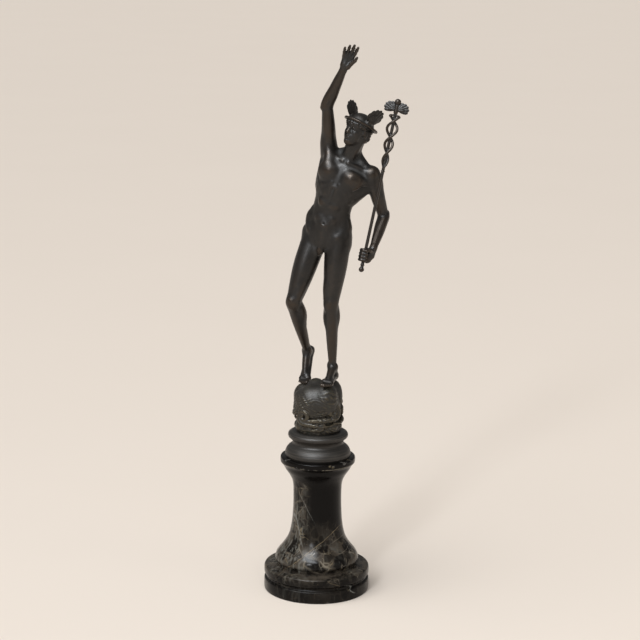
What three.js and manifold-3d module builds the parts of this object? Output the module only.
// A small bronze Mercury with a staff, on a cloud mound, a turned bronze collar and a turned marble column.
// Millimetres, +Z up, the front towards -Y. The column's axis is the Z axis and its underside is z = 0.
import * as THREE from 'three';
import { mergeVertices } from 'three/addons/utils/BufferGeometryUtils.js';
import Module from 'manifold-3d';

const wasm = await Module();
wasm.setup();

// Driving dimensions
const BASE_R = 41; // marble foot
const BASE_HEIGHT = 20; // marble foot
const BELL_R = 32.5; // widest ring of the marble column, at its foot
const SHAFT_R = 18.6; // waist of the column
const RIM_R = 29; // rim of the column, under the collar
const COLUMN_HEIGHT = 87; // marble foot to collar
const COLLAR_R = 25.4; // bronze collar, where it sits on the column
const NECK_R = 19.5; // hollow of the collar
const FLANGE_R = 23.3; // upper ring of the collar, under the mound
const COLLAR_HEIGHT = 20.5; // column to mound
const MOUND_HEIGHT = 38.5; // collar to standing sole
const FIGURE_HEIGHT = 212; // sole to crown of the head
const FIGURE_TURN = -20; // degrees: the figure faces a little to the viewer's left
const FIGURE_SHIFT = [2, 2]; // from the column's axis
const STAFF_R = 1.2; // radius of the staff
const KNOB_R = 2; // knob at its lower end
const CLEARANCE = 0.3; // gap left where one piece is cut for its neighbour
const LATHE_SIDES = 32;

// Joints between the pieces
const BASE_TOP = BASE_HEIGHT;
const COLUMN_TOP = BASE_TOP + COLUMN_HEIGHT;
const COLLAR_TOP = COLUMN_TOP + COLLAR_HEIGHT;
const SOLE_Z = COLLAR_TOP + MOUND_HEIGHT;

// Solids from geometry, and back.
// Merges equal points and drops the triangles that a profile's points on the axis leave without area.
function tidy(geometry) {
  const bare = new THREE.BufferGeometry().setAttribute('position', geometry.getAttribute('position'));
  if (geometry.index) bare.setIndex(geometry.index);
  const g = mergeVertices(bare, 1e-4);
  const kept = [];
  for (let i = 0; i < g.index.count; i += 3) {
    const [a, b, c] = [g.index.getX(i), g.index.getX(i + 1), g.index.getX(i + 2)];
    if (a !== b && b !== c && c !== a) kept.push(a, b, c);
  }
  g.setIndex(kept);
  return g;
}
function toSolid(geometry) {
  const g = tidy(geometry);
  return new wasm.Manifold(new wasm.Mesh({
    numProp: 3,
    vertProperties: new Float32Array(g.getAttribute('position').array),
    triVerts: new Uint32Array(g.index.array),
  }));
}
function indexed(positions, index) {
  const g = new THREE.BufferGeometry();
  g.setAttribute('position', new THREE.BufferAttribute(positions, 3));
  return g.setIndex(index);
}
function toGeometry(solid) {
  const m = solid.getMesh();
  const v = new Float32Array(m.numVert * 3);
  for (let i = 0; i < m.numVert; i++) {
    const from = i * m.numProp;
    v.set(m.vertProperties.subarray(from, from + 3), i * 3);
  }
  return indexed(v, [...m.triVerts]);
}
// A turned piece from [radius, height] pairs, bottom to top, outside only.
function turned(profile, sides = LATHE_SIDES) {
  const first = profile[0], last = profile[profile.length - 1];
  const line = [[0, first[1]], ...profile, [0, last[1]]].map(([r, z]) => new THREE.Vector2(r, z));
  const g = new THREE.LatheGeometry(line, sides);
  g.rotateX(Math.PI / 2); // the lathe's axis is Y, the part's is Z
  return tidy(g);
}

// The marble and the collar
const BASE_PROFILE = [
  [BASE_R - 0.6, 0], [BASE_R, 0.8], [BASE_R, BASE_TOP - 11.5], [BASE_R - 0.7, BASE_TOP - 10.7],
  [BASE_R - 2, BASE_TOP - 10], [BASE_R - 2, BASE_TOP - 8.4], [BASE_R - 0.6, BASE_TOP - 7.4],
  [BASE_R, BASE_TOP - 6.4], [BASE_R, BASE_TOP - 4], [BASE_R - 0.7, BASE_TOP - 2],
  [BASE_R - 3, BASE_TOP - 0.9], [BELL_R + 1, BASE_TOP - 0.4], [BELL_R - 0.9, BASE_TOP],
];
// The shaft runs from the bell at the column's foot to the cap under its rim. Its heights are shares of that
// length, and its radii are shares of the way from the waist to the bell or to the rim.
const BELL_TOP = BASE_TOP + 12.5;
const CAP_BOTTOM = COLUMN_TOP - 10;
const widened = (share, widest) => SHAFT_R + share * (widest - SHAFT_R);
const shaft = (radius, share) => [radius, BELL_TOP + share * (CAP_BOTTOM - BELL_TOP)];
const COLUMN_PROFILE = [
  [BELL_R - 1.5, BASE_TOP], [BELL_R - 1.6, BASE_TOP + 2.4], [BELL_R - 0.6, BASE_TOP + 3.2],
  [BELL_R, BASE_TOP + 4.6], [BELL_R - 0.2, BASE_TOP + 6.2], [BELL_R - 1.2, BASE_TOP + 9],
  shaft(widened(.712, BELL_R), 0),
  shaft(widened(.46, BELL_R), .07), shaft(widened(.216, BELL_R), .163), shaft(widened(.072, BELL_R), .318),
  shaft(widened(.007, BELL_R), .52), shaft(SHAFT_R, .705), shaft(widened(.038, RIM_R), .845),
  shaft(widened(.337, RIM_R), .938), shaft(widened(.625, RIM_R), 1), [RIM_R - 2, COLUMN_TOP - 6],
  [RIM_R - 0.3, COLUMN_TOP - 4.4], [RIM_R, COLUMN_TOP - 3.6], [RIM_R, COLUMN_TOP - 0.6],
  [RIM_R - 0.6, COLUMN_TOP],
];
const collar = (radius, share) => [radius, COLUMN_TOP + share * COLLAR_HEIGHT];
const COLLAR_PROFILE = [
  collar(COLLAR_R - 0.8, 0), collar(COLLAR_R, .059), collar(COLLAR_R, .176), collar(COLLAR_R - 1.2, .322),
  collar(NECK_R + 2.4, .424), collar(NECK_R + 0.5, .488), collar(NECK_R, .585), collar(NECK_R + 1.1, .673),
  collar(FLANGE_R - 0.3, .761), collar(FLANGE_R, .839), collar(FLANGE_R - 0.5, .917), collar(NECK_R - 0.1, 1),
];

// The figure's skeleton, in percent of its height: +X is the viewer's right, -Y the front
const V = (x, y, z) => new THREE.Vector3(x, y, z);
const JOINTS = {
  hipL: V(5.6, 1.0, 53.0), kneeL: V(3.6, -0.9, 28.9), ankleL: V(3.7, 1.6, 4.9),
  heelL: V(3.7, 3.1, 1.7), ballL: V(4.7, -6.3, 1.1), tipL: V(5.1, -9.2, 0.9),
  hipR: V(-3.8, 1.2, 51.6), kneeR: V(-9.4, -4.8, 29.2), ankleR: V(-8.4, 7.6, 8.6),
  heelR: V(-8.6, 10.8, 8.4), ballR: V(-7.8, 3.6, -0.7), tipR: V(-7.4, 0.7, -1.5),
  pelvis: V(0.8, 1.2, 54.0), waist: V(2.6, 0.6, 63.4), chest: V(5.6, 0.8, 72.4), neck: V(9.0, 1.4, 81.0),
  shoulderR: V(1.4, 1.9, 83.0), elbowR: V(1.4, -1.2, 100.4), wristR: V(8.2, -3.6, 113.4),
  shoulderL: V(17.0, 2.2, 76.6), elbowL: V(20.4, 6.8, 60.4), wristL: V(20.2, -4.0, 50.8),
  skull: V(12.4, 0.0, 91.8),
};
const STAFF = [V(17.3, -7.9, 43.8), V(26.4, 1.8, 102.0)]; // foot and top of the staff
const HEAD_TURN = { lean: 12, turn: -24, tilt: -10 }; // degrees
const HAT_TILT = 12;

// A frame has an origin o and directions x, y, z: out to the side, forward, and along the bone, whose whole
// length is z = 1.
const flatTo = (v, d) => v.clone().addScaledVector(d, -v.dot(d)).normalize();
const radians = THREE.MathUtils.degToRad;
function boneFrame(from, to, forward, side) {
  const z = to.clone().sub(from);
  const along = z.clone().normalize();
  const y = flatTo(forward, along);
  const x = y.clone().cross(along);
  if (x.x * side < 0) x.negate();
  return { o: from, x, y, z };
}
function trunkFrame(o, up, across, side) {
  const z = up.clone().normalize();
  const x = flatTo(across, z);
  const y = z.clone().cross(x).negate();
  return { o, x: x.multiplyScalar(side), y, z };
}
// The foot lies along the sole, and the toes go on from the ball.
function footFrames({ knee, ankle, heel, ball, tip }, side) {
  const sole = ball.clone().sub(heel);
  const ahead = sole.clone().normalize();
  const up = flatTo(knee.clone().sub(ankle), ahead);
  const out = ahead.clone().cross(up);
  if (out.x * side < 0) out.negate();
  const toes = tip.clone().sub(ball);
  const toesUp = flatTo(up, toes.clone().normalize());
  return { foot: { o: heel, x: out, y: up, z: sole }, toe: { o: ball, x: out, y: toesUp, z: toes } };
}
function headFrames(side) {
  const turn = new THREE.Matrix4().makeRotationY(radians(HEAD_TURN.lean))
    .multiply(new THREE.Matrix4().makeRotationZ(radians(HEAD_TURN.turn)))
    .multiply(new THREE.Matrix4().makeRotationX(radians(HEAD_TURN.tilt)));
  const way = (x, y, z) => V(x, y, z).applyMatrix4(turn);
  const head = { o: JOINTS.skull, x: way(side, 0, 0), y: way(0, -1, 0), z: way(0, 0, 1) };
  const [c, s] = [Math.cos(radians(HAT_TILT)), Math.sin(radians(HAT_TILT))];
  const hat = {
    o: head.o.clone().addScaledVector(head.y, -0.8).addScaledVector(head.z, 2.2),
    x: head.x,
    y: head.y.clone().multiplyScalar(c).addScaledVector(head.z, s),
    z: head.z.clone().multiplyScalar(c).addScaledVector(head.y, -s),
  };
  return { head, hat };
}
function sideFrames(tag, side) {
  const j = Object.fromEntries(Object.entries(JOINTS).map(([name, at]) => [name.replace(tag, ''), at]));
  const knee = side > 0 ? V(0.12, -1, 0.05) : V(-0.18, -1, 0.1);
  const elbow = side > 0 ? V(0.1, -1, 0) : V(0.25, -1, 0);
  const shoulders = JOINTS.shoulderL.clone().sub(JOINTS.shoulderR);
  const hips = JOINTS.hipL.clone().sub(JOINTS.hipR);
  return {
    thigh: boneFrame(j.hip, j.knee, knee, side),
    shin: boneFrame(j.knee, j.ankle, knee, side),
    upper: boneFrame(j.shoulder, j.elbow, elbow, side),
    fore: boneFrame(j.elbow, j.wrist, side > 0 ? V(-0.2, -0.4, 1) : elbow, side),
    hip: { o: j.hip, x: V(side, 0, 0), y: V(0, -1, 0), z: V(0, 0, 1) },
    chest: trunkFrame(j.chest, j.neck.clone().sub(j.waist), shoulders, side),
    pelvis: trunkFrame(j.pelvis, j.waist.clone().sub(j.pelvis), hips, side),
    ...footFrames(j, side),
    ...headFrames(side),
  };
}
const FRAMES = {};
for (const [tag, side] of [['L', 1], ['R', -1]]) {
  for (const [name, frame] of Object.entries(sideFrames(tag, side))) FRAMES[name + tag] = frame;
}
for (const name of ['chest', 'pelvis', 'head', 'hat']) FRAMES[name] = FRAMES[name + 'L'];

// The open right hand: x towards the thumb, y out of the palm, z to the fingertips.
function palmFrame() {
  const z = V(0.36, -0.06, 0.93).normalize();
  const x = flatTo(V(1, 0.25, 0), z);
  const y = x.clone().cross(z);
  return { o: JOINTS.wristR, x, y: y.y < 0 ? y : y.negate(), z };
}
// The left fist: z up the staff, x from the staff towards the wrist.
function gripFrame() {
  const up = STAFF[1].clone().sub(STAFF[0]).normalize();
  const o = STAFF[0].clone().addScaledVector(up, 5.1);
  const x = flatTo(JOINTS.wristL.clone().sub(o), up);
  return { o, x, y: up.clone().cross(x), z: up };
}
function staffFrame() {
  const z = STAFF[1].clone().sub(STAFF[0]);
  const up = z.clone().normalize();
  const x = flatTo(V(1, 0.15, 0), up);
  return { o: STAFF[0], x, y: x.clone().cross(up), z };
}
FRAMES.palm = palmFrame();
FRAMES.grip = gripFrame();
FRAMES.staff = staffFrame();
// The mound, in millimetres: y towards the front, z in shares of its height.
FRAMES.mound = { o: V(0, 0, COLLAR_TOP), x: V(1, 0, 0), y: V(0, -1, 0), z: V(0, 0, MOUND_HEIGHT) };

function place([frame, x, y, z]) {
  const f = FRAMES[frame];
  return f.o.clone().addScaledVector(f.x, x).addScaledVector(f.y, y).addScaledVector(f.z, z);
}

// Rows of rounded forms
// cone: frame, x, y, z, frame, x, y, z, radius there, radius here, belly, blend, [flattened along 1 = y, by]
// ball: frame, x, y, z, radii, blend; cut: the same, carved away
const TORSO = [
  ['ball', 'chest', 0, 0, .9, 8.0, 5.5, 9.0, 0],
  ['cone', 'chest', 0, -.1, -3.0, 'pelvis', 0, 0, 3.5, 7.1, 7.0, -.15, 2.4, .70],
  ['ball', 'pelvis', 0, -.3, -.6, 8.3, 5.3, 5.4, 2.2],
  ['cone', 'chest', -4.4, -1.2, 6.9, 'chest', 4.4, -1.2, 6.9, 3.2, 3.2, .2, 2.0],
  ['cone', 'chest', 0, -1.6, 8.0, 'head', 0, -1.6, -3.6, 3.1, 2.75, -.1, 1.6], // neck
  ['cone', 'pelvis', 0, 3.3, 4.0, 'pelvis', 0, 3.9, -3.0, 2.3, 1.5, 0, 1.4],
];
const TORSO_SIDES = [
  ['cone', 'chest', 1.9, -2.0, 11.6, 'upper', -1.3, -.5, -.05, 1.5, 1.7, .1, 1.8], // neck to shoulder
  ['cone', 'chest', .9, 3.4, 8.6, 'upper', .3, 1.3, .02, .5, .6, 0, .8], // collarbone
  ['ball', 'chest', 3.8, 3.75, 2.9, 4.1, 1.95, 3.3, .9], // breast
  ['cone', 'chest', 4.3, 3.6, 3.9, 'upper', 0, .9, .2, 2.1, 1.3, .2, 1.6],
  ['cone', 'chest', 6.2, -1.4, -3.0, 'upper', 0, -1.0, .18, 2.2, 1.6, .5, 1.8], // flank to arm
  ['cone', 'chest', 4.2, -2.4, -2.2, 'chest', 6.2, -2.6, 5.0, 2.2, 2.6, .2, 1.4],
  ['cone', 'chest', 6.9, 1.5, .9, 'chest', 6.0, 3.1, -.2, .75, .55, 0, .7], // ribs
  ['cone', 'chest', 6.8, 2.0, -1.0, 'chest', 5.8, 3.5, -2.2, .75, .55, 0, .7],
  ['cone', 'chest', 6.6, 2.3, -2.9, 'chest', 5.5, 3.6, -4.2, .75, .55, 0, .7],
  ['cone', 'pelvis', 5.7, 0, 7.4, 'pelvis', 6.4, 0, 4.6, 1.7, 2.2, .2, 1.2], // waist
  ['cone', 'pelvis', 7.1, .9, 3.0, 'pelvis', 5.2, 3.7, .7, .9, .75, .1, 1.0], // hip bone
  ['cone', 'pelvis', 5.2, 3.7, .7, 'pelvis', 1.4, 4.5, -3.2, .7, .5, 0, .8],
  ['cone', 'pelvis', 1.7, -3.5, 2.5, 'chest', 2.0, -4.1, 3.0, 1.7, 1.7, 0, .9], // beside the spine
  ['cone', 'chest', 4.2, -3.9, 5.8, 'chest', 3.3, -3.9, .8, 1.8, 1.3, 0, 1.1], // shoulder blade
  ['ball', 'chest', 1.75, 3.85, -4.0, 1.9, 1.3, 1.6, .6], // belly
  ['ball', 'chest', 1.75, 3.75, -7.0, 1.9, 1.25, 1.6, .6],
  ['ball', 'pelvis', 1.65, 3.7, 6.3, 1.85, 1.25, 1.75, .6],
  ['cone', 'pelvis', 1.4, 3.3, 4.0, 'pelvis', .9, 3.9, -2.4, 1.7, 1.2, 0, .8],
  ['cone', 'hip', -.5, -2.1, 1.2, 'hip', .2, -1.9, -2.3, 3.8, 3.6, .1, 1.0], // buttock
  ['cone', 'hip', 1.5, -.4, 2.8, 'hip', 1.5, -.1, -2.5, 3.0, 2.8, 0, 1.5],
];
const GROIN = [
  ['ball', 'pelvis', 0, 4.3, -5.2, 1.45, 1.0, 1.9, .7],
  ['ball', 'pelvis', 0, 4.9, -4.9, .75, .8, 1.5, .4],
];
const LEG = [
  ['cone', 'thigh', 0, 0, .02, 'thigh', 0, 0, 1.0, 4.3, 2.55, .5, 1.5],
  ['cone', 'thigh', .4, 1.0, .04, 'thigh', -.1, 1.0, .9, 2.9, 1.5, .9, 1.1], // front
  ['cone', 'thigh', 1.7, .4, .12, 'thigh', 1.0, .5, .88, 2.6, 1.4, .6, .9], // outside
  ['cone', 'thigh', -1.0, .7, .55, 'thigh', -1.4, .8, .93, 1.9, 1.4, .45, .7],
  ['cone', 'thigh', -1.4, .1, .0, 'thigh', -1.1, -.1, .55, 3.1, 2.0, .2, 1.2], // inside
  ['cone', 'thigh', .5, -1.4, .15, 'thigh', .7, -1.1, .98, 2.7, 1.2, .6, .9], // back
  ['cone', 'thigh', -.8, -1.3, .15, 'thigh', -.9, -1.1, 1.0, 2.6, 1.1, .5, .7],
  ['cone', 'thigh', 0, .3, .97, 'shin', 0, .3, .05, 2.4, 2.15, 0, 1.0],
  ['cone', 'thigh', 0, 1.75, .985, 'shin', 0, 1.75, .02, 1.1, 1.0, 0, .6], // kneecap
  ['cone', 'shin', 0, 1.4, .07, 'shin', 0, 1.3, .13, .8, .7, 0, .7],
  ['cone', 'shin', 0, 0, 0, 'shin', 0, 0, 1.0, 2.15, 1.3, .25, 1.0],
  ['cone', 'shin', -1.0, -1.15, .06, 'shin', -.75, -1.15, .46, 1.8, 1.3, .75, .6], // calf
  ['cone', 'shin', 1.0, -1.1, .06, 'shin', .7, -1.05, .40, 1.7, 1.2, .65, .6],
  ['cone', 'shin', 0, -.7, .35, 'shin', 0, -.75, .80, 1.95, 1.05, .15, .9],
  ['cone', 'shin', .6, .7, .10, 'shin', .2, .6, .70, 1.5, .9, .25, .6],
  ['cone', 'shin', -.35, .95, .08, 'shin', -.2, .55, .97, 1.05, .85, 0, .6],
  ['cone', 'shin', 0, -1.15, .70, 'foot', 0, .7, .02, .75, .9, 0, .7], // heel cord
  ['cone', 'shin', 1.15, 0, .97, 'shin', 1.2, 0, .99, .75, .7, 0, .5], // ankle bones
  ['cone', 'shin', -1.15, .1, .94, 'shin', -1.2, .1, .96, .8, .75, 0, .5],
  ['cone', 'shin', 0, 0, 1.0, 'foot', 0, .1, .03, 1.5, 1.65, 0, 1.0],
  ['cone', 'foot', 0, 0, 0, 'foot', 0, 0, .09, 1.6, 1.5, 0, .6],
  ['cone', 'shin', 0, .2, 1.0, 'foot', 0, .75, .87, 1.55, 1.05, .1, 1.1], // instep
  ['cone', 'foot', .1, -.35, 0, 'foot', .9, -.1, 1.0, 1.25, 1.05, 0, .8],
  ['cone', 'foot', -.3, -.2, 0, 'foot', -1.0, .15, 1.0, 1.2, 1.15, 0, .8],
  ['cone', 'foot', -1.3, .1, 1.0, 'foot', 1.35, -.25, 1.0, 1.15, .85, 0, .8],
  ['cone', 'toe', -1.5, .1, 0, 'toe', -1.45, -.05, 1.0, .82, .76, 0, .3], // toes
  ['cone', 'toe', -.6, .1, 0, 'toe', -.6, -.1, 1.05, .6, .54, 0, .3],
  ['cone', 'toe', .15, .05, 0, 'toe', .15, -.15, .92, .57, .51, 0, .3],
  ['cone', 'toe', .85, 0, 0, 'toe', .88, -.2, .78, .54, .48, 0, .3],
  ['cone', 'toe', 1.55, -.1, 0, 'toe', 1.6, -.25, .62, .5, .46, 0, .3],
];
const ARM = [
  ['cone', 'upper', 0, 0, 0, 'upper', 0, 0, 1, 2.5, 1.85, .2, 1.5],
  ['cone', 'upper', .35, 0, .04, 'upper', .7, 0, .46, 2.65, 1.3, .55, 1.3], // shoulder
  ['cone', 'upper', -.1, .95, .25, 'upper', -.1, .7, .88, 1.65, 1.2, .75, .6], // front
  ['cone', 'upper', -.1, -.95, .15, 'upper', .1, -.85, .82, 1.75, 1.2, .6, .7], // back
  ['cone', 'upper', .55, -.5, .55, 'upper', .3, -.6, .95, 1.25, 1.0, .2, .6],
  ['cone', 'upper', 0, 0, .98, 'fore', 0, 0, .05, 1.7, 1.65, 0, .8],
  ['cone', 'upper', 0, -.75, 1.0, 'upper', 0, -.85, 1.01, .9, .85, 0, .5], // elbow
  ['cone', 'fore', 0, 0, 0, 'fore', 0, 0, 1, 1.8, 1.2, .35, .8],
  ['cone', 'fore', .8, .5, -.1, 'fore', .5, .45, .5, 1.15, .8, .6, .6],
  ['cone', 'fore', -.7, .1, .0, 'fore', -.3, .2, .6, 1.35, .85, .45, .6],
  ['cone', 'fore', .3, -.6, .05, 'fore', .15, -.4, .65, 1.15, .8, .3, .6],
];
const OPEN_HAND = [
  ['cone', 'palm', 0, 0, -.8, 'palm', 0, 0, 1.2, 1.3, 1.35, 0, .5, .8],
  ['cone', 'palm', .7, 0, 1.2, 'palm', 1.25, -.1, 4.3, 1.1, .8, 0, .6, .75],
  ['cone', 'palm', -.6, 0, 1.2, 'palm', -1.2, -.1, 4.1, 1.1, .75, 0, .6, .75],
  ['cone', 'palm', 0, 0, 1.0, 'palm', 0, -.1, 4.4, 1.3, .8, 0, .6, .75],
];
// Each finger: its points from knuckle to tip in the palm's frame, and its radius at each.
const FINGERS = [
  [[1.1, .4, 1.0, 1.0], [1.8, .8, 2.4, .72], [2.75, 1.0, 4.0, .59], [3.05, 1.0, 5.3, .48]], // thumb
  [[1.6, -.1, 4.2, .62], [1.95, 0, 6.1, .575], [2.15, .15, 7.5, .535], [2.25, .4, 8.6, .46]],
  [[.55, -.1, 4.3, .62], [.7, .05, 6.4, .575], [.78, .4, 8.0, .535], [.8, .85, 9.15, .46]],
  [[-.5, -.1, 4.25, .6], [-.6, .15, 6.2, .555], [-.65, .75, 7.6, .515], [-.65, 1.4, 8.55, .45]],
  [[-1.5, -.1, 4.0, .55], [-1.85, .25, 5.6, .495], [-2.0, .85, 6.65, .455], [-2.05, 1.5, 7.4, .41]],
];
for (const finger of FINGERS) {
  for (let k = 0; k < 3; k++) {
    const [a, b] = [finger[k], finger[k + 1]];
    const blend = [.35, .12, .1][k];
    OPEN_HAND.push(['cone', 'palm', ...a.slice(0, 3), 'palm', ...b.slice(0, 3), a[3], b[3], 0, blend]);
  }
}
const FIST = [
  ['cone', 'foreL', 0, 0, .97, 'grip', 2.9, 0, .2, 1.25, 1.35, 0, .8],
  ['cone', 'grip', 1.7, .4, 1.5, 'grip', 1.6, .4, -1.6, 1.2, 1.05, .1, .7],
  ['cone', 'grip', 2.3, 0, 1.3, 'grip', 2.1, .1, -1.3, 1.25, 1.15, 0, .7],
  ['cone', 'grip', 1.9, -.8, 1.6, 'grip', .4, -1.75, 2.2, .9, .68, 0, .5], // thumb
  ['cone', 'grip', .4, -1.75, 2.2, 'grip', -1.0, -1.7, 1.7, .66, .56, 0, .15],
];
// Four fingers round the staff: each is four cones on an arc of this radius.
const FINGER_RING = 1.42;
const FINGER_TURNS = [20, 75, 135, 200, 255]; // degrees round the staff
[.64, .66, .64, .58].forEach((radius, i) => {
  const onRing = (degrees) => [
    FINGER_RING * Math.cos(radians(degrees)), FINGER_RING * Math.sin(radians(degrees)), 1.65 - 1.12 * i,
  ];
  for (let k = 0; k < 4; k++) {
    const [from, to] = [onRing(FINGER_TURNS[k]), onRing(FINGER_TURNS[k + 1])];
    FIST.push(['cone', 'grip', ...from, 'grip', ...to, radius, radius * .96, 0, k ? .12 : .3]);
  }
});
const HEAD = [
  ['ball', 'head', 0, -.9, 1.4, 3.8, 4.75, 4.3, .8],
  ['cone', 'head', 0, 1.5, 1.3, 'head', 0, 1.9, -3.3, 2.95, 2.2, .15, .9],
  ['cone', 'head', 0, 3.15, -4.75, 'head', 0, 3.3, -4.5, 1.0, .9, 0, .7],
];
const HEAD_SIDES = [
  ['cone', 'head', 2.05, -.3, -2.5, 'head', .6, 2.75, -4.6, 1.25, 1.0, 0, .9], // jaw
  ['ball', 'head', 1.65, 2.1, -2.4, 1.5, 1.35, 1.6, .9], // cheek
  ['cone', 'head', 1.8, 2.6, -1.2, 'head', 2.5, 1.2, -.7, .95, .9, 0, 1.0],
  ['cone', 'head', .5, 4.05, .95, 'head', 2.2, 3.3, .95, .55, .5, 0, .7], // brow
  ['cut', 'head', 1.5, 4.75, -.05, 1.15, 1.0, .62, .55], // eye socket
  ['ball', 'head', 1.42, 3.15, -.12, 1.0, .9, .66, .1],
  ['ball', 'head', 3.75, -.6, -.5, .5, 1.0, 1.5, .4], // ear
];
const NOSE_AND_LIPS = [
  ['cone', 'head', 0, 3.95, .95, 'head', 0, 4.95, -1.4, .45, .55, 0, .5],
  ['cone', 'head', -.5, 4.5, -1.55, 'head', .5, 4.5, -1.55, .4, .4, 0, .3],
  ['ball', 'head', 0, 3.35, -2.8, 1.6, 1.0, 1.15, .8],
  ['cone', 'head', -.5, 4.2, -2.55, 'head', .5, 4.2, -2.55, .28, .28, 0, .25],
  ['cone', 'head', -.5, 4.18, -3.15, 'head', .5, 4.18, -3.15, .32, .32, 0, .25],
];
// Locks of hair: over the brow, before and behind the ears, and in three rows on the nape.
const LOCKS = [];
for (let i = 0; i < 9; i++) {
  const a = radians(-64 + 16 * i);
  const at = [4.05 * Math.sin(a), -.5 + 4.65 * Math.cos(a), 2.5 - .7 * (1 - Math.cos(a))];
  LOCKS.push(['ball', 'head', ...at, .95, .95, .8, .35]);
}
for (const side of [1, -1]) {
  for (let k = 0; k < 3; k++) {
    LOCKS.push(['ball', 'head', side * (3.85 - .05 * k), .75 - .15 * k, 1.0 - .85 * k, .62, .7, .62, .35]);
    LOCKS.push(['ball', 'head', side * (3.7 - .22 * k), -2.2 - .3 * k, .3 - 1.15 * k, .95, 1.0, .85, .4]);
  }
}
[.4, -1.2, -2.7].forEach((z, k) => {
  for (let i = 0; i < 6; i++) {
    const a = radians(-62 + 25 * i + 6 * k);
    const at = [(3.75 - .3 * k) * Math.sin(a), -.9 - (4.35 - .45 * k) * Math.cos(a), z];
    LOCKS.push(['ball', 'head', ...at, 1.05, 1.0, .95, .4]);
  }
});
// The hat's wings, in the hat's frame: two layers of feathers in a fan. A feather's angle goes from straight
// ahead to straight up and back, and comes with its length.
const WING_ROOT = V(4.25, 1.2, 1.2);
const LONG_FEATHERS = [[-10, 4.8], [8, 5.9], [26, 6.3], [44, 6.1], [62, 5.4], [80, 4.3]];
const SHORT_FEATHERS = [[-4, 3.3], [17, 3.7], [38, 3.7], [59, 3.3], [78, 2.7]];
function wingRows(frame) {
  const ahead = V(.34, .62, .70).normalize();
  const back = flatTo(V(.30, -.74, .60), ahead);
  const face = ahead.clone().cross(back);
  const rows = [['ball', frame, 4.3, 1.2, 1.4, 1.0, 1.5, 1.3, .6]];
  const layer = (feathers, lift, width, belly, blend, flat) => {
    const root = WING_ROOT.clone().addScaledVector(face, lift);
    for (const [degrees, length] of feathers) {
      const a = radians(degrees);
      const way = ahead.clone().multiplyScalar(Math.cos(a)).addScaledVector(back, Math.sin(a));
      const from = root.clone().addScaledVector(way, .3);
      const to = root.clone().addScaledVector(way, length);
      rows.push(['cone', frame, ...from, frame, ...to, width, .42, belly, blend, flat, face]);
    }
  };
  layer(LONG_FEATHERS, 0, .7, .32, .12, .45);
  layer(SHORT_FEATHERS, .32, .62, .2, .1, .5);
  return rows;
}

// Each row twice, once in the frames of the left side and once in those of the right.
function bothSides(rows) {
  const named = (value, tag) => (typeof value === 'string' && FRAMES[value + tag] ? value + tag : value);
  return ['L', 'R'].flatMap((tag) => rows.map((row) => row.map((value) => named(value, tag))));
}
const NECK = TORSO[4];
const WRIST = ['cone', 'foreR', 0, 0, .78, 'foreR', 0, 0, 1, 1.5, 1.2, 0, .5];
const BODY_ROWS = [...TORSO, ...bothSides(TORSO_SIDES), ...GROIN, ...bothSides(LEG), ...bothSides(ARM)];
const HEAD_ROWS = [
  NECK, ...HEAD, ...bothSides(HEAD_SIDES), ...NOSE_AND_LIPS, ...LOCKS, ['hat'],
  ...wingRows('hatL'), ...wingRows('hatR'),
];

// A signed distance on a grid of points, built up row by row: negative inside the clay.
function eggDistance(x, y, z, rx, ry, rz) {
  const k0 = Math.hypot(x / rx, y / ry, z / rz);
  const k1 = Math.hypot(x / rx ** 2, y / ry ** 2, z / rz ** 2);
  return k0 * (k0 - 1) / Math.max(k1, 1e-9);
}
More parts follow.
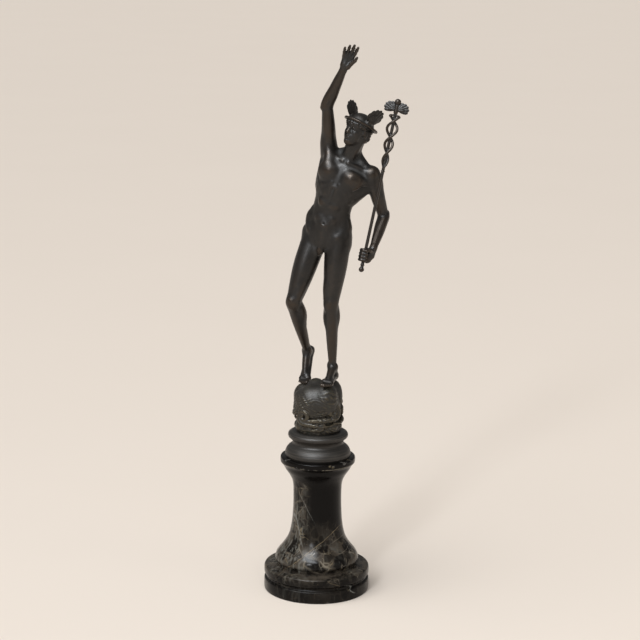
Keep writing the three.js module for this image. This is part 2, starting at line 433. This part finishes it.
// How much a soft join or cut takes off the sharper of two distances that differ by so much.
function fillet(difference, blend) {
  if (blend <= 0) return 0;
  const h = Math.max(blend - Math.abs(difference), 0);
  return h * h / (4 * blend);
}
const EMPTY = 9; // a distance that is far outside
const MARGIN = 2.2; // grid steps round each form that still get its distance
class Field {
  constructor(low, high, step) {
    this.low = low;
    this.step = step;
    this.n = ['x', 'y', 'z'].map((k) => Math.ceil((high[k] - low[k]) / step) + 1);
    this.d = new Float32Array(this.n[0] * this.n[1] * this.n[2]).fill(EMPTY);
  }
  index(i, j, l) {
    return (i * this.n[1] + j) * this.n[2] + l;
  }
  // Calls shape(x, y, z) for each grid point in a box, and blends its distance in or carves it out.
  blend(low, high, reach, soft, shape, carve = false) {
    const { n, step, d } = this;
    const axes = ['x', 'y', 'z'];
    const from = axes.map((a) => Math.max(0, Math.floor((low[a] - reach - this.low[a]) / step)));
    const to = axes.map((a, k) => Math.min(n[k] - 1, Math.ceil((high[a] + reach - this.low[a]) / step)));
    for (let i = from[0]; i <= to[0]; i++) {
      for (let j = from[1]; j <= to[1]; j++) {
        for (let l = from[2]; l <= to[2]; l++) {
          const at = this.index(i, j, l);
          const s = shape(this.low.x + i * step, this.low.y + j * step, this.low.z + l * step);
          if (carve) d[at] = Math.max(d[at], -s) + fillet(d[at] + s, soft);
          else d[at] = Math.min(d[at], s) - fillet(d[at] - s, soft);
        }
      }
    }
  }
  add(row) {
    if (row[0] === 'hat') this.addHat();
    else if (row[0] === 'top') this.levelTop(row[1], row[2]);
    else if (row[0] === 'cone') this.addCone(row);
    else this.addEgg(row);
  }
  // The distance from the nearest point of a line, less a radius that changes along it and swells by a belly.
  addCone([, frameA, ax, ay, az, frameB, bx, by, bz, ra, rb, belly, soft, flat, normal]) {
    const a = place([frameA, ax, ay, az]);
    const b = place([frameB, bx, by, bz]);
    const ba = b.clone().sub(a);
    const long = Math.max(ba.lengthSq(), 1e-9);
    const f = FRAMES[frameA];
    const flatWay = normal || V(0, 1, 0);
    const n = V(0, 0, 0);
    for (const axis of ['x', 'y', 'z']) n.addScaledVector(f[axis], flatWay[axis]);
    const squash = flat ? 1 / flat - 1 : 0;
    const scale = flat ? Math.sqrt(flat) : 1;
    const reach = Math.max(ra, rb) + Math.max(belly, 0) + soft + MARGIN * this.step;
    this.blend(a.clone().min(b), a.clone().max(b), reach, soft, (x, y, z) => {
      const [px, py, pz] = [x - a.x, y - a.y, z - a.z];
      const t = Math.min(1, Math.max(0, (px * ba.x + py * ba.y + pz * ba.z) / long));
      const [qx, qy, qz] = [px - t * ba.x, py - t * ba.y, pz - t * ba.z];
      const s = squash * (qx * n.x + qy * n.y + qz * n.z);
      const away = Math.sqrt((qx + s * n.x) ** 2 + (qy + s * n.y) ** 2 + (qz + s * n.z) ** 2);
      return (away - (ra + (rb - ra) * t + belly * Math.sin(Math.PI * t))) * scale;
    });
  }
  addEgg([kind, frame, x0, y0, z0, rx, ry, rz, soft]) {
    const c = place([frame, x0, y0, z0]);
    const f = FRAMES[frame];
    const local = this.within(c, f.x, f.y, f.z.clone().normalize());
    const reach = Math.max(rx, ry, rz) + soft + MARGIN * this.step;
    this.blend(c, c, reach, soft, local((x, y, z) => eggDistance(x, y, z, rx, ry, rz)), kind === 'cut');
  }
  // Turns a shape given along three directions from an origin into one of x, y and z.
  within(o, u, v, w) {
    return (shape) => (x, y, z) => {
      const [px, py, pz] = [x - o.x, y - o.y, z - o.z];
      const along = (way) => px * way.x + py * way.y + pz * way.z;
      return shape(along(u), along(v), along(w));
    };
  }
  // Nothing stands above the height z0; soft rounds the edge.
  levelTop(z0, soft) {
    const { n, step, low, d } = this;
    for (let at = 0; at < d.length; at++) {
      const over = low.z + (at % n[2]) * step - z0;
      d[at] = Math.max(d[at], over) + fillet(d[at] - over, soft);
    }
  }
  // Everything grows by a distance, and the grid's outermost layer is left empty, so that the surface closes.
  grow(distance) {
    const { n, d } = this;
    const atEnd = (k, axis) => k === 0 || k === n[axis] - 1;
    for (let i = 0; i < n[0]; i++) {
      for (let j = 0; j < n[1]; j++) {
        for (let l = 0; l < n[2]; l++) {
          const at = this.index(i, j, l);
          d[at] -= distance;
          if (atEnd(i, 0) || atEnd(j, 1) || atEnd(l, 2)) d[at] = Math.max(d[at], .5);
        }
      }
    }
  }
  // The hat: a dome, a drooping brim with a round edge, and a band.
  addHat() {
    const f = FRAMES.hat;
    const local = this.within(f.o, f.x, f.y, f.z);
    const join = (soft, shape) => this.blend(f.o, f.o, 8, soft, local(shape));
    join(.2, (x, y, z) => Math.max(eggDistance(x, y, z - .1, 4.5, 4.9, 3.7), -(z + .2)));
    join(.5, (x, y, z) => {
      const r = Math.hypot(x, y * .94);
      const over = Math.max(Math.abs(z + .05 + .02 * (r - 4.4) ** 2) - .12, 0);
      return Math.hypot(Math.max(r - 5.95, 0), over) - .26;
    });
    join(.15, (x, y, z) => Math.hypot(Math.hypot(x, y * .94) - 4.75, z - .25) - .36);
  }
}

// A closed surface through the field's zero: each grid cube is cut into six tetrahedra.
const TETRAHEDRA = [[0, 1, 3, 7], [0, 3, 2, 7], [0, 2, 6, 7], [0, 6, 4, 7], [0, 4, 5, 7], [0, 5, 1, 7]];
const ONE = [[0, 1, 2, 3], [1, 0, 3, 2], [2, 0, 1, 3], [3, 0, 2, 1]];
const TWO = {
  3: [0, 1, 2, 3], 5: [0, 2, 3, 1], 9: [0, 3, 1, 2], 6: [1, 2, 0, 3], 10: [1, 3, 2, 0], 12: [2, 3, 0, 1],
};
const ALL_CORNERS = 255;
function surfaceOf(field) {
  const { n, d, low, step } = field;
  const points = [];
  const faces = [];
  const made = new Map();
  // The eight corners of a cube are numbered by the bits x + 2 y + 4 z.
  const corner = (i, j, l, c) => field.index(i + (c & 1), j + ((c >> 1) & 1), l + ((c >> 2) & 1));
  // The point where the surface crosses the edge between two corners of a cube.
  const crossing = (i, j, l, p, q) => {
    const [a, b] = p < q ? [p, q] : [q, p];
    const key = corner(i, j, l, a) * 8 + (a ^ b);
    if (!made.has(key)) {
      const [da, db] = [d[corner(i, j, l, a)], d[corner(i, j, l, b)]];
      const t = Math.min(.96, Math.max(.04, da / (da - db)));
      const mix = (bit, cell) => step * (cell + ((a >> bit) & 1) * (1 - t) + ((b >> bit) & 1) * t);
      made.set(key, points.length / 3);
      points.push(low.x + mix(0, i), low.y + mix(1, j), low.z + mix(2, l));
    }
    return made.get(key);
  };
  const cut = (i, j, l, tet) => {
    let mask = 0;
    for (let c = 0; c < 4; c++) if (d[corner(i, j, l, tet[c])] < 0) mask |= 1 << c;
    if (!mask || mask === 15) return;
    const single = [1, 2, 4, 8].indexOf(mask);
    const allButOne = [14, 13, 11, 7].indexOf(mask);
    if (single >= 0 || allButOne >= 0) {
      const [a, b, c, e] = ONE[Math.max(single, allButOne)].map((k) => tet[k]);
      const t = [crossing(i, j, l, a, b), crossing(i, j, l, a, c), crossing(i, j, l, a, e)];
      faces.push(...(single >= 0 ? t : [t[0], t[2], t[1]]));
    } else {
      const [a, b, c, e] = TWO[mask].map((k) => tet[k]);
      const q = [[a, c], [a, e], [b, e], [b, c]].map(([from, to]) => crossing(i, j, l, from, to));
      faces.push(q[0], q[1], q[2], q[0], q[2], q[3]);
    }
  };
  for (let i = 0; i < n[0] - 1; i++) {
    for (let j = 0; j < n[1] - 1; j++) {
      for (let l = 0; l < n[2] - 1; l++) {
        let inside = 0;
        for (let c = 0; c < 8; c++) if (d[corner(i, j, l, c)] < 0) inside |= 1 << c;
        if (inside && inside !== ALL_CORNERS) for (const tet of TETRAHEDRA) cut(i, j, l, tet);
      }
    }
  }
  return { points: Float64Array.from(points), faces: Int32Array.from(faces) };
}

// A heap of numbered items with a cost each, cheapest on top.
class Heap {
  constructor(room, width) {
    this.cost = new Float64Array(room);
    this.item = new Int32Array(room * width);
    this.width = width;
    this.size = 0;
  }
  copy(from, to) {
    const w = this.width;
    this.cost[to] = this.cost[from];
    this.item.copyWithin(to * w, from * w, from * w + w);
  }
  push(cost, item) {
    let i = this.size;
    this.size += 1;
    while (i > 0) {
      const parent = (i - 1) >> 1;
      if (this.cost[parent] <= cost) break;
      this.copy(parent, i);
      i = parent;
    }
    this.cost[i] = cost;
    this.item.set(item, i * this.width);
  }
  pop() {
    const top = [...this.item.subarray(0, this.width)];
    this.size -= 1;
    const moved = this.cost[this.size];
    let i = 0;
    for (let k = 1; k < this.size; k = 2 * i + 1) {
      if (k + 1 < this.size && this.cost[k + 1] < this.cost[k]) k += 1;
      if (this.cost[k] >= moved) break;
      this.copy(k, i);
      i = k;
    }
    this.copy(this.size, i);
    return top;
  }
}

// The error of a point x, y, z against a sum of planes, as ten numbers from q[at] on.
function planeError(m, x, y, z) {
  return x * (m[0] * x + 2 * (m[1] * y + m[2] * z + m[3])) + y * (m[4] * y + 2 * (m[5] * z + m[6]))
    + z * (m[7] * z + 2 * m[8]) + m[9];
}
// The point with the least such error, or null where the planes don't fix one.
function bestPoint(m) {
  const [a, b, c] = [m[4] * m[7] - m[5] * m[5], m[1] * m[7] - m[5] * m[2], m[1] * m[5] - m[4] * m[2]];
  const det = m[0] * a - m[1] * b + m[2] * c;
  if (Math.abs(det) <= 1e-9) return null;
  const x = m[3] * a - m[1] * (m[6] * m[7] - m[5] * m[8]) + m[2] * (m[6] * m[5] - m[4] * m[8]);
  const y = m[0] * (m[6] * m[7] - m[5] * m[8]) - m[3] * b + m[2] * (m[1] * m[8] - m[6] * m[2]);
  const z = m[0] * (m[4] * m[8] - m[6] * m[5]) - m[1] * (m[1] * m[8] - m[6] * m[2]) + m[3] * c;
  return [-x / det, -y / det, -z / det];
}

// Fewer triangles: the edge whose loss moves the surface least is collapsed first.
function simplify({ points, faces }, wanted) {
  const count = points.length / 3;
  const around = Array.from({ length: count }, () => []);
  const q = new Float64Array(count * 10);
  const at = (v) => [points[3 * v], points[3 * v + 1], points[3 * v + 2]];
  const normal = (f) => {
    const a = 3 * faces[3 * f];
    const b = 3 * faces[3 * f + 1];
    const c = 3 * faces[3 * f + 2];
    const ux = points[b] - points[a];
    const uy = points[b + 1] - points[a + 1];
    const uz = points[b + 2] - points[a + 2];
    const vx = points[c] - points[a];
    const vy = points[c + 1] - points[a + 1];
    const vz = points[c + 2] - points[a + 2];
    return [uy * vz - uz * vy, uz * vx - ux * vz, ux * vy - uy * vx];
  };
  const dot = (a, b) => a[0] * b[0] + a[1] * b[1] + a[2] * b[2];
  let alive = faces.length / 3;
  for (let f = 0; f < alive; f++) {
    const n = normal(f);
    const long = Math.hypot(...n) || 1e-12;
    const [x, y, z] = n.map((v) => v / long);
    const w = -dot([x, y, z], at(faces[3 * f]));
    const plane = [x * x, x * y, x * z, x * w, y * y, y * z, y * w, z * z, z * w, w * w];
    for (let c = 0; c < 3; c++) {
      const v = faces[3 * f + c];
      around[v].push(f);
      for (let k = 0; k < 10; k++) q[v * 10 + k] += plane[k] * long / 2;
    }
  }
  // The place where two ends of an edge would meet, and what it costs.
  const m = new Float64Array(10);
  const squared = (a, b) => (a[0] - b[0]) ** 2 + (a[1] - b[1]) ** 2 + (a[2] - b[2]) ** 2;
  const meeting = (a, b) => {
    for (let k = 0; k < 10; k++) m[k] = q[a * 10 + k] + q[b * 10 + k];
    const [pa, pb] = [at(a), at(b)];
    const middle = [(pa[0] + pb[0]) / 2, (pa[1] + pb[1]) / 2, (pa[2] + pb[2]) / 2];
    const span = squared(pa, pb);
    const choices = [middle, pa, pb];
    const free = bestPoint(m);
    if (free && squared(free, middle) < span) choices.push(free);
    let place = null;
    let least = Infinity;
    for (const p of choices) {
      const error = planeError(m, p[0], p[1], p[2]);
      if (error < least) {
        least = error;
        place = p;
      }
    }
    return { place, cost: Math.max(least, 0) + 1e-5 * span };
  };
  // An edge in the heap is skipped when it comes up if either of its ends has changed since.
  const stamp = new Int32Array(count);
  const heap = new Heap(faces.length * 8, 4);
  const offer = (a, b) => heap.push(meeting(a, b).cost, [a, b, stamp[a], stamp[b]]);
  const neighbours = (v) => {
    const out = [];
    for (const f of around[v]) {
      for (let c = 0; c < 3; c++) {
        const u = faces[3 * f + c];
        if (u !== v && !out.includes(u)) out.push(u);
      }
    }
    return out;
  };
  for (let f = 0; f < alive; f++) {
    for (let c = 0; c < 3; c++) {
      const [a, b] = [faces[3 * f + c], faces[3 * f + (c + 1) % 3]];
      if (a < b) offer(a, b);
    }
  }
  // Moves both ends to one place, unless that would turn a triangle over or leave it without area.
  const moved = (a, b, goal, staying) => {
    const before = staying.map(normal);
    const was = [at(a), at(b)];
    points.set(goal, 3 * a);
    points.set(goal, 3 * b);
    const spoiled = staying.some((f, i) => {
      const now = normal(f);
      const long = Math.sqrt(dot(now, now) * dot(before[i], before[i]));
      return dot(now, before[i]) < .25 * long || dot(now, now) < 1e-14;
    });
    if (spoiled) {
      points.set(was[0], 3 * a);
      points.set(was[1], 3 * b);
    }
    return !spoiled;
  };
  while (alive > wanted && heap.size) {
    const [a, b, stampA, stampB] = heap.pop();
    if (stamp[a] !== stampA || stamp[b] !== stampB) continue;
    const [nearA, nearB] = [neighbours(a), neighbours(b)];
    const shared = nearA.filter((v) => nearB.includes(v)).length;
    if (shared !== 2 || nearA.length + nearB.length < 8) continue;
    const dying = around[a].filter((f) => around[b].includes(f));
    const staying = [...around[a], ...around[b]].filter((f) => !dying.includes(f));
    if (!moved(a, b, meeting(a, b).place, staying)) continue;
    for (const f of dying) {
      for (let c = 0; c < 3; c++) {
        const v = faces[3 * f + c];
        if (v !== a && v !== b) around[v] = around[v].filter((g) => g !== f);
      }
    }
    for (const f of around[b]) {
      for (let c = 0; c < 3; c++) if (faces[3 * f + c] === b) faces[3 * f + c] = a;
    }
    for (const f of dying) faces[3 * f] = -1;
    around[a] = staying;
    around[b] = [];
    alive -= dying.length;
    for (let k = 0; k < 10; k++) q[a * 10 + k] += q[b * 10 + k];
    stamp[a] += 1;
    stamp[b] += 1;
    for (const v of neighbours(a)) offer(Math.min(a, v), Math.max(a, v));
  }
  const kept = [];
  for (let f = 0; f < faces.length / 3; f++) {
    if (faces[3 * f] >= 0) kept.push(faces[3 * f], faces[3 * f + 1], faces[3 * f + 2]);
  }
  return { points, faces: kept };
}
function meshed({ points, faces }) {
  const used = new Map();
  const list = [];
  const at = Array.from(faces, (v) => {
    if (!used.has(v)) {
      used.set(v, list.length / 3);
      list.push(points[3 * v], points[3 * v + 1], points[3 * v + 2]);
    }
    return used.get(v);
  });
  return indexed(new Float32Array(list), at);
}

// The cloud mound: puffs on a core, in the mound's frame, and long rolls of cloud that sweep round its side.
const BILLOWS = [
  ['ball', 'mound', 0, 0, .09, 17.8, 17.8, 12, 0],
  ['cone', 'mound', 0, 0, .17, 'mound', -.5, .5, .48, 16.3, 15.4, 0, 2],
  ['ball', 'mound', -.5, .5, .506, 16.8, 17.2, 15.5, 3],
  ['ball', 'mound', -5, 7.5, .662, 11, 10.5, 11.5, 1.5],
  ['ball', 'mound', 10.2, -2, .714, 8.2, 9, 12.5, 1.5], // under the standing foot
  ['ball', 'mound', 6.2, 10.5, .714, 8.2, 9.5, 12.5, 2],
  ['ball', 'mound', -11.3, -10.3, .642, 8, 8.6, 9.7, 1.5], // under the trailing toes
];
// Rings of puffs: how many, the first one's angle from the front, the ring's radius and height, and how wide
// a puff is.
for (const [count, first, ring, z, radius] of [[11, 8, 14.4, .122, 4.6], [7, 26, 12.6, .675, 6]]) {
  for (let i = 0; i < count; i++) {
    const a = radians(first + i * 360 / count);
    const r = radius * (1 + .12 * Math.sin(i * 2.4 + 40 * z));
    const height = z + .023 * Math.sin(i * 3.1);
    BILLOWS.push(['ball', 'mound', ring * Math.sin(a), ring * Math.cos(a), height, r, r, r, .8]);
  }
}
const CROWN = ['ball', 'mound', -2, -1.5, .83, 7, 8.5, 9.5, 1.5]; // the puff between the feet
const MOUND_SIDE = 18.2; // radius of the side on which the rolls lie
const ROLL_TURNS = 1.4; // turns of the spiral in which a roll ends
// A roll is drawn on the unrolled side, as a tail and a shrinking spiral, and then wrapped round the mound.
function rollRows({ degrees, z, size, hand, tail, thick }) {
  const drawn = [];
  for (let k = 0; k < 8; k++) {
    const left = 1 - k / 7; // share of the tail still ahead
    drawn.push([-hand * tail * left, -size - 2.2 * left * Math.sin(3 * left), 1 - .65 * left]);
  }
  for (let k = 1; k <= 14; k++) {
    const t = k / 14;
    const w = t * ROLL_TURNS * 2 * Math.PI;
    const r = size * (1 - .72 * t);
    drawn.push([hand * r * Math.sin(w), -r * Math.cos(w), 1 - .4 * t]);
  }
  const points = drawn.map(([side, rise, share]) => {
    const a = radians(degrees) + side / MOUND_SIDE;
    const height = z + rise / MOUND_HEIGHT;
    const out = MOUND_SIDE * Math.sqrt(Math.max(1 - ((height - .35) / .8) ** 2, .1));
    return [out * Math.sin(a), .5 + out * Math.cos(a), height, thick * share];
  });
  return points.slice(1).map((b, k) => {
    const a = points[k];
    return ['cone', 'mound', ...a.slice(0, 3), 'mound', ...b.slice(0, 3), a[3], b[3], 0, .3];
  });
}
// Each roll's spiral: its place round and up the mound, its size, the side it winds to, the tail's length.
const ROLLS = [
  { degrees: -38, z: .364, size: 5.6, hand: -1, tail: 25, thick: 2.1 },
  { degrees: 40, z: .48, size: 6.2, hand: 1, tail: 38, thick: 2.3 },
  { degrees: 112, z: .377, size: 5.4, hand: 1, tail: 22, thick: 2.1 },
  { degrees: 160, z: .558, size: 5.6, hand: -1, tail: 30, thick: 2.1 },
  { degrees: 222, z: .35, size: 6, hand: 1, tail: 24, thick: 2.2 },
  { degrees: 285, z: .532, size: 5.6, hand: 1, tail: 26, thick: 2.1 },
];

// The staff's snakes and wings, in the staff's frame: z in shares of its length, x and y in percent of the
// figure's height.
const SNAKES = [];
const SNAKE = { from: .60, to: .885, turns: 1.5, narrow: .75, wide: 2.0, thick: .46, steps: 24 };
const STAFF_FEATHERS = [[-4, 4.2], [14, 4.3], [33, 3.9], [53, 3.1]]; // degrees, length
for (const side of [1, -1]) {
  const helix = (k) => {
    const t = k / SNAKE.steps;
    const a = t * SNAKE.turns * 2 * Math.PI;
    const r = SNAKE.narrow + (SNAKE.wide - SNAKE.narrow) * t;
    const height = SNAKE.from + (SNAKE.to - SNAKE.from) * t;
    return [side * r * Math.sin(a), side * (.55 + .25 * t) * Math.cos(a), height];
  };
  const thickness = (k) => SNAKE.thick * (.55 + .45 * Math.min(1, k / 8));
  for (let k = 0; k < SNAKE.steps; k++) {
    const ends = ['staff', ...helix(k), 'staff', ...helix(k + 1)];
    SNAKES.push(['cone', ...ends, thickness(k), thickness(k + 1), 0, .12]);
  }
  const nape = [side * -1.55, .1, .915];
  SNAKES.push(['cone', 'staff', ...helix(SNAKE.steps), 'staff', ...nape, SNAKE.thick, .44, 0, .15]);
  SNAKES.push(['cone', 'staff', ...nape, 'staff', side * -.75, .3, .922, .52, .3, .08, .15]); // head
  for (const [degrees, length] of STAFF_FEATHERS) {
    const a = radians(degrees);
    const tip = [side * length * Math.cos(a), 0, .955 + length * Math.sin(a) / 60];
    SNAKES.push(['cone', 'staff', 0, 0, .955, 'staff', ...tip, .62, .36, .22, .12, .5]);
  }
}
SNAKES.push(['cone', 'staff', 0, 0, .94, 'staff', 0, 0, .975, .8, .8, 0, .3]);
SNAKES.push(['ball', 'staff', 0, 0, 1.0, 1.15, 1.15, 1.15, .2]);

// From the figure's space to the part's: turned, scaled and set on the mound.
const SCALE = FIGURE_HEIGHT / 100;
const toMM = (v) => v.clone().applyAxisAngle(V(0, 0, 1), radians(FIGURE_TURN)).multiplyScalar(SCALE)
  .add(V(...FIGURE_SHIFT, SOLE_Z));
const onMound = (geometry) => geometry.rotateZ(radians(FIGURE_TURN)).scale(SCALE, SCALE, SCALE)
  .translate(...FIGURE_SHIFT, SOLE_Z);
// A solid of some rows between two corners of the figure's space, with at most so many triangles.
function cast(rows, low, high, step, triangles, grow = 0) {
  const field = new Field(low, high, step);
  for (const row of rows) field.add(row);
  field.grow(grow);
  return toSolid(onMound(meshed(simplify(surfaceOf(field), triangles))));
}
const largest = (solid) => solid.decompose().sort((a, b) => b.volume() - a.volume())[0];
function rod(radius, from, to, sides) {
  const a = toMM(from);
  const b = toMM(to);
  const along = b.clone().sub(a);
  const g = new THREE.CylinderGeometry(radius, radius, along.length(), sides);
  g.applyQuaternion(new THREE.Quaternion().setFromUnitVectors(V(0, 1, 0), along.clone().normalize()));
  g.translate((a.x + b.x) / 2, (a.y + b.y) / 2, (a.z + b.z) / 2);
  return g;
}
const staffAt = (t) => STAFF[0].clone().lerp(STAFF[1], t);

function makeFigure() {
  const body = cast(BODY_ROWS, V(-15, -14, -4), V(25, 17, 118), .6, 2100);
  const head = cast(HEAD_ROWS, V(0, -10, 77), V(25, 11, 107), .33, 1150);
  const openHand = cast([WRIST, ...OPEN_HAND], V(2, -10, 107), V(18, 2, 126), .3, 430);
  const fist = cast(FIST, V(12, -14, 43), V(25, 1, 55), .28, 420);
  // The bore of the fist is a little wider again, because the staff is a prism of ten sides.
  const bore = rod(STAFF_R + CLEARANCE + .08, staffAt(-.1), staffAt(1.1), 10);
  return largest(body.add(head).add(openHand).add(fist).subtract(toSolid(bore)));
}
function makeMound() {
  const field = new Field(V(-26, -26, COLLAR_TOP - 12), V(26, 26, SOLE_Z + 8), .9);
  const rows = [...BILLOWS, ...ROLLS.flatMap(rollRows), ['top', SOLE_Z + .5, 1.5], CROWN];
  for (const row of rows) field.add(row);
  const heap = toSolid(meshed(simplify(surfaceOf(field), 1200)));
  const below = new THREE.BoxGeometry(90, 90, 20).translate(0, 0, COLLAR_TOP - 10);
  const footprints = cast(BODY_ROWS, V(-15, -14, -5), V(12, 17, 7), .5, 900, .24);
  return largest(heap.subtract(toSolid(below)).subtract(footprints));
}
function makeStaff() {
  const field = new Field(V(17, -9, 75), V(34, 9, 105), .22);
  for (const row of SNAKES) field.add(row);
  const crest = toSolid(onMound(meshed(simplify(surfaceOf(field), 560))));
  const knob = new THREE.SphereGeometry(KNOB_R, 10, 6).translate(...toMM(staffAt(0)).toArray());
  return toSolid(rod(STAFF_R, staffAt(0), staffAt(1), 10)).add(toSolid(knob)).add(crest);
}

const group = new THREE.Group();
function add(name, geometry) {
  geometry.computeVertexNormals();
  const mesh = new THREE.Mesh(geometry, new THREE.MeshStandardMaterial());
  mesh.name = name;
  group.add(mesh);
}
add('marble_foot', turned(BASE_PROFILE));
add('marble_column', turned(COLUMN_PROFILE));
add('bronze_collar', turned(COLLAR_PROFILE));
add('cloud_mound', toGeometry(makeMound()));
add('mercury_figure', toGeometry(makeFigure()));
add('staff', toGeometry(makeStaff()));
export default group;
